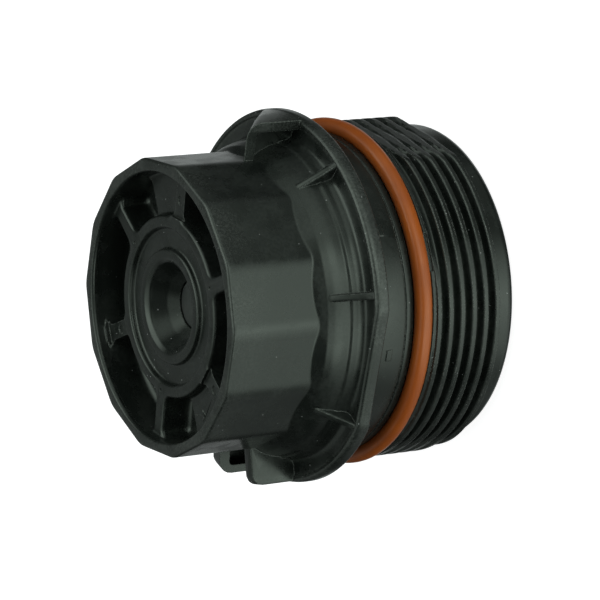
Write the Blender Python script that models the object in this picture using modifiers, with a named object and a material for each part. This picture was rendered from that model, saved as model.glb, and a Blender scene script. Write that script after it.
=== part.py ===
"""Oil-filter housing cap with the cartridge element, drain valve and bypass valve it carries.

The cap stands on its open threaded rim with the wrench socket upwards. The cap's axis is Z and the
open rim lies on Z = 0. Lengths below are in millimetres; "depth" is measured down from the socket face.
"""
import math

import bmesh
import bpy
from mathutils import Matrix, Vector

MM = 0.001

# ---- driving dimensions (mm) ----
LENGTH = 69.2               # socket face to open rim
FLAT_TO_FLAT = 64.0         # fourteen-flute wrench size
FLUTES = 14
FLUTE_START = 15.9          # azimuth of one flute corner, degrees
SOCKET_BORE = 29.5          # radius of the wrench-side opening
SOCKET_DEPTH = 9.5          # depth of the pocket floor
BOSS_FACE = 2.7             # depth of the central boss face
BOSS_RADIUS = 19.5
PORT_RADIUS = 9.7           # drain port mouth
SEAT_RADIUS = 5.6           # drain valve seat hole
COLLAR_RADIUS = 11.5        # collar under the drain port
COLLAR_END = 28.0
VALVE_BORE = 8.6
NECK_RADIUS = 34.8
FLANGE_RADIUS = 41.4
FLANGE_FACE = 30.6
FLANGE_BACK = 33.4
FLAT_DISTANCE = 39.0        # flats across the flange edge, from the axis
FLAT_AZIMUTHS = (-24.5, 155.5)
UPPER_LUG_RADIUS = 41.2
LOWER_LUG_RADIUS = 40.9
CORE_RADIUS = 35.7          # neck behind the flange and thread root
GLAND_RADIUS = 34.4
GLAND_TOP = 42.85
GLAND_BOTTOM = 47.1
SEAL_WIRE = 3.9
SEAL_RADIUS = 36.75         # centre of the seal's cross-section
SEAL_DEPTH = 44.85
THREAD_RADIUS = 37.7
THREAD_PITCH = 3.03
THREAD_DEPTH_AT_ZERO = 51.45
THREAD_TOP = 48.3
THREAD_BOTTOM = 64.3
THREAD_FLAT = 35.72         # flats across the thread, from the axis
THREAD_FLAT_AZIMUTHS = (67.0, 247.0)
CHAMBER_RADIUS = 32.1
NECK_CHAMBER_RADIUS = 29.2
CEILING = 12.6
GAP = 0.3                   # between neighbouring pieces

TUBE_INNER = 13.0
TUBE_OUTER = 14.4
TUBE_TOP = 14.6
TUBE_END = 67.4
ELEMENT_RADIUS = 28.0
ELEMENT_TOP = 17.6
ELEMENT_END = 66.0
END_CAP_THICKNESS = 1.6
PLEATS = 44

TURN_STEPS = 48


def height(depth):
    """Z in metres of a depth in millimetres below the socket face."""
    return (LENGTH - depth) * MM


def clear_scene():
    for obj in list(bpy.data.objects):
        bpy.data.objects.remove(obj)
    for group in list(bpy.data.collections):
        bpy.data.collections.remove(group)


clear_scene()
PARTS = bpy.data.collections.new("oil_filter_cap")
TOOLS = bpy.data.collections.new("shaping_bodies")
bpy.context.scene.collection.children.link(PARTS)
bpy.context.scene.collection.children.link(TOOLS)


# ---- materials ----

def material(name, colour, roughness, metallic=0.0):
    mat = bpy.data.materials.new(name)
    mat.use_nodes = True
    shader = mat.node_tree.nodes["Principled BSDF"]
    shader.inputs["Base Color"].default_value = (*colour, 1.0)
    shader.inputs["Roughness"].default_value = roughness
    shader.inputs["Metallic"].default_value = metallic
    return mat


def finish(obj, mat, angle=32.0):
    """Give a finished piece its material and smooth shading with sharp creases."""
    obj.data.materials.clear()
    obj.data.materials.append(mat)
    for face in obj.data.polygons:
        face.use_smooth = True
    obj.data.set_sharp_from_angle(angle=math.radians(angle))
    return obj


# ---- shaping helpers ----

def link(name, mesh, group):
    obj = bpy.data.objects.new(name, mesh)
    group.objects.link(obj)
    if group is TOOLS:
        obj.hide_render = True
        obj.display_type = "WIRE"
    return obj


def from_bmesh(name, bm, group):
    bmesh.ops.recalc_face_normals(bm, faces=bm.faces)
    mesh = bpy.data.meshes.new(name)
    bm.to_mesh(mesh)
    bm.free()
    return link(name, mesh, group)


def turned(name, profile, group, steps=TURN_STEPS):
    """Solid of revolution. The profile is (radius, depth) in mm, running down its outer side."""
    verts = [(r * MM, 0.0, height(d)) for r, d in profile]
    edges = [(i, i + 1) for i in range(len(verts) - 1)]
    on_axis = profile[0][0] == 0.0 and profile[-1][0] == 0.0
    if not on_axis:
        edges.append((len(verts) - 1, 0))
    mesh = bpy.data.meshes.new(name)
    mesh.from_pydata(verts, edges, [])
    obj = link(name, mesh, group)
    screw = obj.modifiers.new("turn", "SCREW")
    screw.axis = "Z"
    screw.angle = math.tau
    screw.steps = steps
    screw.render_steps = steps
    screw.use_merge_vertices = True
    screw.merge_threshold = 0.00001
    screw.use_smooth_shade = True
    return obj


def boolean(obj, other, operation):
    modifier = obj.modifiers.new(operation.lower() + "_" + other.name, "BOOLEAN")
    modifier.operation = operation
    modifier.object = other
    modifier.solver = "EXACT"


def add(obj, other):
    boolean(obj, other, "UNION")


def cut(obj, other):
    boolean(obj, other, "DIFFERENCE")


def polar(radius, azimuth, depth):
    angle = math.radians(azimuth)
    return Vector((radius * math.cos(angle) * MM, radius * math.sin(angle) * MM, height(depth)))


def interpolate(pairs, value):
    """Piecewise-linear look-up in a list of (position, result) pairs."""
    if value <= pairs[0][0]:
        return pairs[0][1]
    for (x0, y0), (x1, y1) in zip(pairs, pairs[1:]):
        if value <= x1:
            return y0 + (y1 - y0) * (value - x0) / (x1 - x0)
    return pairs[-1][1]


def arc_block_into(bm, inner, outer, bottom, tops, steps):
    """Sector of a ring. Its top depth follows tops, a list of (azimuth, depth)."""
    first, last = tops[0][0], tops[-1][0]
    corners = [(inner, bottom), (outer, bottom), (outer, tops[0][1]), (inner, tops[0][1])]
    ring = [bm.verts.new(polar(r, first, d)) for r, d in corners]
    face = bm.faces.new(ring)
    top_start = height(tops[0][1])
    before = set(bm.verts) - set(ring)
    bmesh.ops.spin(bm, geom=[face], cent=(0, 0, 0), axis=(0, 0, 1), dvec=(0, 0, 0),
                   angle=math.radians(last - first), steps=steps, use_duplicate=False)
    for vert in bm.verts:
        if vert in before or abs(vert.co.z - top_start) > 1e-7:
            continue
        azimuth = math.degrees(math.atan2(vert.co.y, vert.co.x))
        while azimuth < first - 0.01:
            azimuth += 360.0
        while azimuth > last + 0.01:
            azimuth -= 360.0
        vert.co.z = height(interpolate(tops, azimuth))


def arc_block(name, inner, outer, bottom, tops, group, steps=6):
    bm = bmesh.new()
    arc_block_into(bm, inner, outer, bottom, tops, steps)
    return from_bmesh(name, bm, group)


def radial_bars(name, azimuths, inner, outer, width, top, bottom, group, bevel=0.0):
    """Straight bars lying along the given azimuths."""
    bm = bmesh.new()
    for azimuth in azimuths:
        size = (outer - inner, width, bottom - top)
        centre = Matrix.Translation(((inner + outer) / 2 * MM, 0, height((top + bottom) / 2)))
        scale = Matrix.Diagonal((size[0] * MM, size[1] * MM, size[2] * MM, 1.0))
        turn = Matrix.Rotation(math.radians(azimuth), 4, "Z")
        bmesh.ops.create_cube(bm, size=1.0, matrix=turn @ centre @ scale)
    if bevel > 0.0:
        bmesh.ops.bevel(bm, geom=list(bm.edges), offset=bevel * MM, segments=1, affect="EDGES",
                        profile=0.5, clamp_overlap=True)
    return from_bmesh(name, bm, group)


def round_bars(name, centres, radius, top, bottom, group, segments=16):
    """Upright round pegs at the given (radius, azimuth) positions."""
    bm = bmesh.new()
    for ring_radius, azimuth in centres:
        place = Matrix.Translation(polar(ring_radius, azimuth, (top + bottom) / 2))
        bmesh.ops.create_cone(bm, cap_ends=True, segments=segments, radius1=radius * MM,
                              radius2=radius * MM, depth=(bottom - top) * MM, matrix=place)
    return from_bmesh(name, bm, group)


def radial_plates(name, azimuths, outline, thickness, group):
    """Thin upright plates in radial planes; the outline is (radius, depth) in mm."""
    bm = bmesh.new()
    for azimuth in azimuths:
        turn = Matrix.Rotation(math.radians(azimuth), 4, "Z")
        ring = [bm.verts.new(turn @ Vector((r * MM, -thickness / 2 * MM, height(d)))) for r, d in outline]
        face = bm.faces.new(ring)
        moved = bmesh.ops.extrude_face_region(bm, geom=[face])["geom"]
        shift = turn @ Vector((0, thickness * MM, 0))
        for vert in [g for g in moved if isinstance(g, bmesh.types.BMVert)]:
            vert.co += shift
    return from_bmesh(name, bm, group)


def coil(name, mean_radius, wire, top, bottom, turns, group, per_turn=14):
    """Compression spring with flattened end turns."""
    bm = bmesh.new()
    sides = 6
    start_z = height(bottom - wire / 2)
    rise = (bottom - top - wire) * MM
    ring = []
    for side in range(sides):
        angle = math.tau * side / sides
        ring.append(bm.verts.new(((mean_radius + wire / 2 * math.cos(angle)) * MM, 0.0,
                                  start_z + wire / 2 * math.sin(angle) * MM)))
    face = bm.faces.new(ring)
    steps = int(turns * per_turn)
    bmesh.ops.spin(bm, geom=[face], cent=(0, 0, 0), axis=(0, 0, 1), dvec=(0, 0, rise / steps),
                   angle=math.tau * turns, steps=steps, use_duplicate=False)
    return from_bmesh(name, bm, group)


# ---- the cap ----

def shell_profile():
    """Section of the cap from the drain port over the boss, down the outside and back up the inside."""
    port = [(SEAT_RADIUS, 8.9), (7.5, 6.75), (9.3, 3.9), (PORT_RADIUS, 3.4), (10.35, BOSS_FACE + 0.1)]
    raised_ring = [(12.3, BOSS_FACE + 0.1), (12.55, 3.0), (12.7, 3.95)]
    recess = [(17.0, 3.95), (17.15, 2.95), (17.4, BOSS_FACE)]
    boss = [(BOSS_RADIUS - 0.3, BOSS_FACE), (BOSS_RADIUS, 3.0), (19.7, 7.8), (20.3, 9.0)]
    pocket = [(21.6, SOCKET_DEPTH), (27.2, SOCKET_DEPTH), (28.6, 9.0), (29.4, 7.6), (30.6, 7.6)]
    flare = [(30.6, 18.0), (32.0, 20.1), (32.85, 21.35), (33.7, 22.5), (34.3, 23.8)]
    neck = [(NECK_RADIUS, 25.3), (35.2, 27.3), (35.5, 27.6), (35.8, 29.6), (36.3, 30.3)]
    flange_face = [(37.0, FLANGE_FACE), (39.8, FLANGE_FACE), (40.1, 30.2), (40.6, 30.15)]
    flange_edge = [(41.15, 30.6), (FLANGE_RADIUS, 31.3), (FLANGE_RADIUS, 33.0), (41.0, FLANGE_BACK)]
    rear_neck = [(36.6, FLANGE_BACK), (35.9, 33.8), (CORE_RADIUS, 34.6), (CORE_RADIUS, GLAND_TOP - 0.2)]
    gland = [(CORE_RADIUS - 0.2, GLAND_TOP), (GLAND_RADIUS, GLAND_TOP), (GLAND_RADIUS, GLAND_BOTTOM)]
    lead = [(37.0, 47.1), (37.2, 47.3), (37.2, 47.9), (CORE_RADIUS, 48.7)]
    rim = [(CORE_RADIUS, 67.8), (35.1, LENGTH), (32.5, LENGTH), (CHAMBER_RADIUS, LENGTH - 0.4)]
    chamber = [(CHAMBER_RADIUS, 26.8), (NECK_CHAMBER_RADIUS, 23.4), (NECK_CHAMBER_RADIUS, 13.6)]
    ceiling = [(28.2, CEILING), (11.9, CEILING), (COLLAR_RADIUS, 13.0)]
    collar = [(COLLAR_RADIUS, COLLAR_END - 0.4), (COLLAR_RADIUS - 0.4, COLLAR_END)]
    valve_bore = [(VALVE_BORE + 0.3, COLLAR_END), (VALVE_BORE, COLLAR_END - 0.3)]
    seat = [(VALVE_BORE, 10.4), (SEAT_RADIUS, 10.4)]
    return (port + raised_ring + recess + boss + pocket + flare + neck + flange_face + flange_edge
            + rear_neck + gland + lead + rim + chamber + ceiling + collar + valve_bore + seat)


def fluted_wall():
    """Fourteen-sided socket wall with rounded corners and an open bore."""
    corner_radius = FLAT_TO_FLAT / 2 / math.cos(math.pi / FLUTES)
    foot = 22.4
    bm = bmesh.new()
    place = Matrix.Translation((0, 0, height(foot / 2)))
    bmesh.ops.create_cone(bm, cap_ends=True, segments=FLUTES, radius1=corner_radius * MM,
                          radius2=corner_radius * MM, depth=foot * MM, matrix=place)
    first = max(bm.verts, key=lambda v: v.co.x + 0.001 * v.co.y)
    present = math.atan2(first.co.y, first.co.x)
    bmesh.ops.rotate(bm, verts=bm.verts, cent=(0, 0, 0),
                     matrix=Matrix.Rotation(math.radians(FLUTE_START) - present, 3, "Z"))
    corners = [e for e in bm.edges if abs(e.verts[0].co.z - e.verts[1].co.z) > 5 * MM]
    bmesh.ops.bevel(bm, geom=corners, offset=0.9 * MM, segments=2, affect="EDGES", profile=0.5)
    brim = [e for e in bm.edges if all(abs(v.co.z - height(0)) < 1e-6 for v in e.verts)]
    bmesh.ops.bevel(bm, geom=brim, offset=0.5 * MM, segments=2, affect="EDGES", profile=0.5)
    wall = from_bmesh("fluted_wall", bm, TOOLS)
    bore = turned("socket_bore", [(0.0, -1.0), (30.0, -1.0), (30.0, -0.1), (29.85, 0.15),
                                  (SOCKET_BORE, 0.4), (SOCKET_BORE, 24.0), (0.0, 24.0)], TOOLS)
    cut(wall, bore)
    return wall


def socket_ribs(cap):
    """Three wide ribs level with the boss and three narrower, lower ones between them."""
    add(cap, radial_bars("wide_ribs", (12, 132, 252), 18.4, 30.4, 3.5, BOSS_FACE + 0.04, 10.0, TOOLS, 0.25))
    add(cap, radial_bars("narrow_ribs", (72, 192, 312), 18.6, 30.3, 3.3, 3.6, 9.9, TOOLS, 0.25))
    bm = bmesh.new()
    arc_block_into(bm, 19.0, 30.2, 9.8, [(73.0, 5.0), (103.0, 5.0), (111.0, 9.7)], 8)
    arc_block_into(bm, 19.0, 30.2, 9.8, [(273.0, 9.7), (281.0, 5.0), (311.0, 5.0)], 8)
    add(cap, from_bmesh("pocket_steps", bm, TOOLS))
    dimples = [(19.2, 12.0), (19.2, 132.0), (19.2, 252.0)]
    cut(cap, round_bars("rib_dimples", dimples, 0.45, 2.0, 3.0, TOOLS, 10))
    pads = [(24.1, 72.0), (24.1, 192.0), (24.1, 312.0)]
    cut(cap, round_bars("pin_marks", pads, 1.0, 3.0, 3.75, TOOLS, 12))


def pocketed_lug(name, start, end, ramp_end, outer):
    """Lug standing up from the flange: hollowed from its start side, ramped down beyond its end."""
    base = FLANGE_FACE + 0.8
    tops = sorted([(start, 20.0), (end, 20.0), (ramp_end, base - 0.1)])
    lug = arc_block(name, 31.4, outer, base, tops, TOOLS, steps=14)
    toward = 1.0 if end > start else -1.0
    hollow = sorted([(start - 2.0 * toward, 21.4), (start + 4.2 * toward, 21.4)])
    pocket = arc_block(name + "_pocket", 30.6, 38.9, FLANGE_FACE, hollow, TOOLS, steps=3)
    cut(lug, pocket)
    return lug


def lug_corner_round(name, start, ramp_end, outer):
    """Wedge-shaped ring sector that takes the sharp outer edge off a lug."""
    bm = bmesh.new()
    section = [(outer - 3.4, 19.6), (outer + 0.6, 19.6), (outer + 0.6, 23.6), (outer - 1.0, 21.0)]
    ring = [bm.verts.new(polar(r, start, d)) for r, d in section]
    face = bm.faces.new(ring)
    bmesh.ops.spin(bm, geom=[face], cent=(0, 0, 0), axis=(0, 0, 1), dvec=(0, 0, 0),
                   angle=math.radians(ramp_end - start), steps=10, use_duplicate=False)
    return from_bmesh(name, bm, TOOLS)


def plate_lug():
    """Plain upright plate on the flange with a rounded outer corner."""
    foot = 31.4
    corner = [(38.9, 19.9), (40.1, 20.4), (40.8, 21.4), (41.0, 22.6)]
    outline = [(33.6, foot), (33.6, 19.9)] + corner + [(41.0, foot)]
    return radial_plates("plate_lug", (-90.0,), outline, 3.0, TOOLS)


def gussets():
    """Thin triangular webs bracing the neck to the flange."""
    outline = [(33.8, 31.3), (33.8, 23.2), (34.9, 24.0), (40.3, 30.4), (40.3, 31.3)]
    return radial_plates("gussets", (0.0, 45.0, -45.0, 135.0, 180.0, 225.0), outline, 1.3, TOOLS)


def flat_cutters(name, azimuths, distance, width, top, bottom):
    """Blocks that shave a round shape down to flat planes at a distance from the axis."""
    thickness = 6.0
    bm = bmesh.new()
    for azimuth in azimuths:
        place = Matrix.Translation(((distance + thickness / 2) * MM, 0, height((top + bottom) / 2)))
        scale = Matrix.Diagonal((thickness * MM, width * MM, (bottom - top) * MM, 1.0))
        turn = Matrix.Rotation(math.radians(azimuth), 4, "Z")
        bmesh.ops.create_cube(bm, size=1.0, matrix=turn @ place @ scale)
    return from_bmesh(name, bm, TOOLS)


def thread():
    """Right-handed helical ridge with faded ends, interrupted by two flats."""
    turns = (THREAD_BOTTOM - THREAD_TOP) / THREAD_PITCH
    start_azimuth = -(THREAD_BOTTOM - THREAD_DEPTH_AT_ZERO) / THREAD_PITCH * 360.0
    per_turn = 40
    steps = int(turns * per_turn)
    root = CORE_RADIUS - 0.45
    section = [(root, 1.2), (THREAD_RADIUS, 0.5), (THREAD_RADIUS, -0.5), (root, -1.2)]
    bm = bmesh.new()
    kind = bm.verts.layers.int.new("kind")
    ring = []
    for index, (radius, offset) in enumerate(section):
        vert = bm.verts.new(polar(radius, start_azimuth, THREAD_BOTTOM + offset))
        vert[kind] = index
        ring.append(vert)
    face = bm.faces.new(ring)
    rise = turns * THREAD_PITCH * MM
    bmesh.ops.spin(bm, geom=[face], cent=(0, 0, 0), axis=(0, 0, 1), dvec=(0, 0, rise / steps),
                   angle=math.tau * turns, steps=steps, use_duplicate=False)
    for vert in bm.verts:
        radius, offset = section[vert[kind]]
        done = (vert.co.z - height(THREAD_BOTTOM + offset)) / rise
        from_end = min(done, 1.0 - done) * turns * 360.0
        if vert[kind] in (1, 2):
            fade = min(1.0, 0.25 + from_end / 30.0)
            wanted = root + (THREAD_RADIUS - root) * fade
            flat = Vector((vert.co.x, vert.co.y, 0.0)).normalized() * wanted * MM
            vert.co.x = flat.x
            vert.co.y = flat.y
    ridge = from_bmesh("thread_ridge", bm, TOOLS)
    cut(ridge, flat_cutters("thread_flats", THREAD_FLAT_AZIMUTHS, THREAD_FLAT, 30.0, 46.8, 66.8))
    return ridge


def cap_body():
    cap = turned("cap_body", shell_profile(), PARTS)
    add(cap, fluted_wall())
    socket_ribs(cap)
    add(cap, gussets())
    add(cap, pocketed_lug("upper_lug", 68.0, 74.4, 91.0, UPPER_LUG_RADIUS))
    add(cap, pocketed_lug("lower_lug", -108.0, -114.4, -131.0, LOWER_LUG_RADIUS))
    cut(cap, lug_corner_round("upper_lug_round", 66.0, 78.0, UPPER_LUG_RADIUS))
    cut(cap, lug_corner_round("lower_lug_round", -118.0, -106.0, LOWER_LUG_RADIUS))
    add(cap, plate_lug())
    cut(cap, flat_cutters("flange_flats", FLAT_AZIMUTHS, FLAT_DISTANCE, 34.0, 29.6, 34.2))
    add(cap, thread())
    add(cap, radial_bars("collar_ribs", (0, 90, 180, 270), 11.0, TUBE_INNER - GAP, 1.6, 13.2, 27.2, TOOLS))
    pads = bmesh.new()
    arc_block_into(pads, 35.0, 36.1, 38.0, [(-24.0, 36.7), (-20.0, 36.7)], 2)
    arc_block_into(pads, 35.0, 36.1, 38.0, [(20.0, 36.7), (24.0, 36.7)], 2)
    add(cap, from_bmesh("parting_pads", pads, TOOLS))
    notch = arc_block("seal_notch", 36.8, 38.5, 47.75, [(6.0, 46.2), (19.0, 46.2)], TOOLS, 3)
    cut(cap, notch)
    return cap


# ---- seal ring ----

def seal_ring(name, ring_radius, wire, depth, steps, sides):
    """Round-section rubber ring."""
    half = wire / 2
    profile = []
    for side in range(sides):
        angle = math.pi / 2 - math.tau * side / sides
        profile.append((ring_radius + half * math.cos(angle), depth - half * math.sin(angle)))
    return turned(name, profile, PARTS, steps)


# ---- drain valve ----

def drain_valve():
    """Poppet: nose in the seat hole, head below the seat, stem through the guide."""
    profile = [(0.0, 9.2), (4.6, 9.2), (5.0, 9.5), (5.0, 12.9), (7.3, 12.9), (7.6, 13.2), (7.6, 14.4),
               (7.3, 14.8), (3.9, 14.8), (3.9, 16.6), (2.1, 17.2), (2.1, 28.0), (1.8, 28.4), (0.0, 28.4)]
    return turned("drain_valve", profile, PARTS, 28)


def drain_valve_guide():
    """Plate pressed into the collar; holds the spring and guides the stem, pierced for oil."""
    profile = [(2.4, 24.2), (3.6, 24.2), (3.6, 25.4), (7.9, 25.4), (8.3, 25.8), (8.3, 27.3), (2.4, 27.3)]
    guide = turned("drain_valve_guide", profile, PARTS, 32)
    holes = [(5.9, a) for a in (30, 90, 150, 210, 270, 330)]
    cut(guide, round_bars("guide_holes", holes, 1.1, 24.0, 28.0, TOOLS, 10))
    return guide


# ---- support tube and bypass valve ----

def support_tube():
    """Windowed centre tube pressed over the collar ribs, with the bypass seat across its bore."""
    outer = [(TUBE_OUTER - 0.3, TUBE_TOP), (TUBE_OUTER, TUBE_TOP + 0.3), (TUBE_OUTER, TUBE_END - 0.4),
             (TUBE_OUTER - 0.4, TUBE_END)]
    bore = [(TUBE_INNER, TUBE_END), (TUBE_INNER, 34.0), (5.2, 34.0), (5.2, 32.4), (TUBE_INNER, 32.4),
            (TUBE_INNER, TUBE_TOP)]
    tube = turned("support_tube", outer + bore, PARTS, 40)
    windows = bmesh.new()
    for azimuth in (27, 117, 207, 297):
        for top in (36.5, 46.5):
            arc_block_into(windows, 12.0, 15.4, top + 7.5, [(azimuth, top), (azimuth + 36.0, top)], 4)
    cut(tube, from_bmesh("tube_windows", windows, TOOLS))
    return tube


def bypass_valve():
    """Poppet held up against its seat inside the tube; it opens downwards."""
    profile = [(0.0, 33.0), (4.4, 33.0), (4.8, 33.4), (4.8, 34.3), (7.4, 34.3), (7.7, 34.6), (7.7, 35.8),
               (7.4, 36.1), (2.0, 36.1), (2.0, 53.0), (1.7, 53.3), (0.0, 53.3)]
    return turned("bypass_valve", profile, PARTS, 24)


def bypass_spring_seat():
    """Spider across the tube bore below the bypass spring."""
    profile = [(2.3, 48.2), (3.4, 48.2), (3.4, 49.4), (TUBE_INNER - GAP, 49.4), (TUBE_INNER - GAP, 51.2),
               (2.3, 51.2)]
    spider = turned("bypass_spring_seat", profile, PARTS, 40)
    gaps = bmesh.new()
    for azimuth in (20, 110, 200, 290):
        arc_block_into(gaps, 8.0, 11.4, 52.0, [(azimuth, 48.6), (azimuth + 50.0, 48.6)], 4)
    cut(spider, from_bmesh("spider_gaps", gaps, TOOLS))
    return spider


# ---- filter element ----

def element_media():
    """Pleated paper pack: a closed zigzag wall standing between the end caps."""
    inner, outer, wall = 17.4, ELEMENT_RADIUS - 1.0, 0.35
    top = ELEMENT_TOP + END_CAP_THICKNESS + GAP
    bottom = ELEMENT_END - END_CAP_THICKNESS - GAP
    step = 180.0 / PLEATS
    outside = []
    inside = []
    for index in range(PLEATS):
        azimuth = index * 2 * step
        outside.append((outer, azimuth))
        outside.append((inner + wall * 1.6, azimuth + step))
        inside.append((outer - wall * 4.2, azimuth))
        inside.append((inner, azimuth + step))
    bm = bmesh.new()
    rows = []
    for ring in (outside, inside):
        rows.append([bm.verts.new(polar(r, a, bottom)) for r, a in ring])
    count = len(outside)
    floor = []
    for i in range(count):
        j = (i + 1) % count
        floor.append(bm.faces.new((rows[0][i], rows[1][i], rows[1][j], rows[0][j])))
    moved = bmesh.ops.extrude_face_region(bm, geom=floor)["geom"]
    for vert in [g for g in moved if isinstance(g, bmesh.types.BMVert)]:
        vert.co.z = height(top)
    return from_bmesh("element_media", bm, PARTS)


def end_cap(name, top):
    """Flat ring that closes one end of the pleat pack."""
    bottom = top + END_CAP_THICKNESS
    inner = TUBE_OUTER + 1.6
    outer = ELEMENT_RADIUS
    profile = [(inner, top), (outer - 0.3, top), (outer, top + 0.3), (outer, bottom - 0.3),
               (outer - 0.3, bottom), (inner, bottom)]
    return turned(name, profile, PARTS, 48)


def lip_seal(name, depth):
    """Soft ring between an end cap's bore and the tube."""
    inner = TUBE_OUTER + GAP
    outer = TUBE_OUTER + 1.6 - GAP
    top = depth - 0.1
    bottom = depth + END_CAP_THICKNESS + 0.1
    profile = [(inner + 0.3, top), (outer, top), (outer, bottom), (inner + 0.3, bottom),
               (inner, (top + bottom) / 2)]
    return turned(name, profile, PARTS, 40)


def build_cap():
    finish(cap_body(), material("black_nylon", (0.022, 0.023, 0.024), 0.5))
    seal = seal_ring("main_seal_ring", SEAL_RADIUS, SEAL_WIRE, SEAL_DEPTH, 48, 10)
    finish(seal, material("orange_rubber", (0.42, 0.13, 0.04), 0.55), 60)


def build_drain_valve():
    finish(drain_valve(), material("grey_acetal", (0.11, 0.115, 0.115), 0.45))
    seal = seal_ring("drain_valve_seal", 6.25, 1.7, 11.65, 24, 8)
    finish(seal, material("black_rubber", (0.02, 0.02, 0.02), 0.7), 60)
    spring = coil("drain_valve_spring", 5.2, 0.9, 15.1, 25.1, 5.0, PARTS)
    finish(spring, material("drain_spring_wire", (0.55, 0.56, 0.58), 0.3, 1.0), 60)
    finish(drain_valve_guide(), material("grey_nylon", (0.07, 0.072, 0.075), 0.5))


def build_tube():
    finish(support_tube(), material("tube_nylon", (0.03, 0.03, 0.032), 0.5))
    finish(bypass_valve(), material("pale_acetal", (0.35, 0.33, 0.28), 0.5))
    spring = coil("bypass_spring", 5.6, 0.9, 36.4, 49.1, 5.0, PARTS)
    finish(spring, material("bypass_spring_wire", (0.5, 0.5, 0.52), 0.35, 1.0), 60)
    finish(bypass_spring_seat(), material("seat_steel", (0.5, 0.5, 0.5), 0.4, 1.0))


def build_element():
    lower_top = ELEMENT_END - END_CAP_THICKNESS
    finish(element_media(), material("filter_paper", (0.72, 0.6, 0.38), 0.9), 10)
    finish(end_cap("element_upper_cap", ELEMENT_TOP), material("upper_cap_resin", (0.12, 0.2, 0.1), 0.7))
    finish(end_cap("element_lower_cap", lower_top), material("lower_cap_resin", (0.12, 0.2, 0.1), 0.7))
    finish(lip_seal("element_upper_seal", ELEMENT_TOP), material("upper_lip_rubber", (0.05, 0.05, 0.05), 0.8))
    finish(lip_seal("element_lower_seal", lower_top), material("lower_lip_rubber", (0.05, 0.05, 0.05), 0.8))


build_cap()
build_drain_valve()
build_tube()
build_element()
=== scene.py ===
"""Looks for the oil-filter housing cap: finely rounded visible surfaces, moulded-plastic and rubber
materials, a pale studio and the camera.

Lengths are in millimetres unless a name says otherwise. "Depth" is measured down the cap's axis from
the face of the wrench socket; azimuth is the angle about that axis, in degrees, from +X towards +Y.
"""
import math

import bmesh
import bpy
from mathutils import Matrix, Vector


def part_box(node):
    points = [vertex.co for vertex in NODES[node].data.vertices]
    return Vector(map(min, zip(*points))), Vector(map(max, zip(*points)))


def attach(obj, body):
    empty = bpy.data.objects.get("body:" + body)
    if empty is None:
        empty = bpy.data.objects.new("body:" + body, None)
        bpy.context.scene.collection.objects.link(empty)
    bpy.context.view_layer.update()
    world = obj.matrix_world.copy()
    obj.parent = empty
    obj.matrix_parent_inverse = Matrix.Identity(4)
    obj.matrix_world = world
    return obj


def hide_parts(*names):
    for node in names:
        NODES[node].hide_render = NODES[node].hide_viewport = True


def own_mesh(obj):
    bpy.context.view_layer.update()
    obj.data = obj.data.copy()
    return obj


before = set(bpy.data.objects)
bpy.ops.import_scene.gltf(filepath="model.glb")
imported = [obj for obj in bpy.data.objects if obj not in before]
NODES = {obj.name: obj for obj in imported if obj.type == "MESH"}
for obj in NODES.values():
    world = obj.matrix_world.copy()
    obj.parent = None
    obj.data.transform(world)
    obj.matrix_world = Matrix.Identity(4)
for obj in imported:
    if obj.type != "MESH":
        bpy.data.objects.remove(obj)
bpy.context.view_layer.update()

MM = 0.001
CAP_LOW, CAP_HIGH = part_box("cap_body")
SEAL_LOW, SEAL_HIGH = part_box("main_seal_ring")

# ---- driving dimensions ----
LENGTH = (CAP_HIGH.z - CAP_LOW.z) / MM
FLANGE_RADIUS = CAP_HIGH.x / MM
FLUTES = 14
FLUTE_ANGLE = 360.0 / FLUTES
FLUTE_START = 15.9
APOTHEM = 32.0
CORNER_SOFTNESS = 0.7
SOCKET_BORE = 29.5
POCKET_DEPTH = 9.5
BOSS_FACE = 2.7
FLANGE_FACE = 30.6
FLANGE_BACK = 33.4
FLAT_DISTANCE = 39.0
FLAT_AZIMUTHS = (-24.5, 155.5)
CORE_RADIUS = 35.7
THREAD_RADIUS = 37.7
THREAD_PITCH = 3.03
THREAD_DEPTH_AT_ZERO = 51.45
THREAD_FIRST = 48.25
THREAD_LAST = 64.35
THREAD_BAND = (47.9, 67.6)
GLAND_TOP = 43.0
GLAND_BOTTOM = 47.1
THREAD_FLAT = 35.72
THREAD_FLAT_AZIMUTHS = (67.0, 247.0)
CHAMBER_RADIUS = 32.1
COLLAR_RADIUS = 11.5
COLUMNS_PER_FLUTE = 20
WIDE_RIB_HALF = 1.85
NARROW_RIB_HALF = 1.75
SHELF_DEPTH = 5.0
POCKET_FILLET = 1.6
SHELF_FILLET = 0.7
NARROW_RIB_AZIMUTHS = (72.0, 192.0, 312.0)
WIDE_RIB_AZIMUTHS = (12.0, 132.0, 252.0)
DRAIN_SPRING = {"mean_radius": 5.2, "wire": 0.9, "top": 15.1, "bottom": 25.1, "turns": 5.0}
BYPASS_SPRING = {"mean_radius": 5.6, "wire": 0.9, "top": 36.4, "bottom": 49.1, "turns": 5.0}


# ---- small helpers ----

def height(depth):
    return (LENGTH - depth) * MM


def at(radius, azimuth, depth):
    angle = math.radians(azimuth)
    return Vector((radius * math.cos(angle) * MM, radius * math.sin(angle) * MM, height(depth)))


def smooth_step(low, high, value):
    t = min(1.0, max(0.0, (value - low) / (high - low)))
    return t * t * (3.0 - 2.0 * t)


def soft_min(a, b, width):
    h = max(width - abs(a - b), 0.0) / width
    return min(a, b) - h * h * width * 0.25


def soft_max(a, b, width):
    return -soft_min(-a, -b, width)


def look_up(pairs, value):
    if value <= pairs[0][0]:
        return pairs[0][1]
    for (x0, y0), (x1, y1) in zip(pairs, pairs[1:]):
        if value <= x1:
            return y0 + (y1 - y0) * (value - x0) / (x1 - x0)
    return pairs[-1][1]


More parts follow.
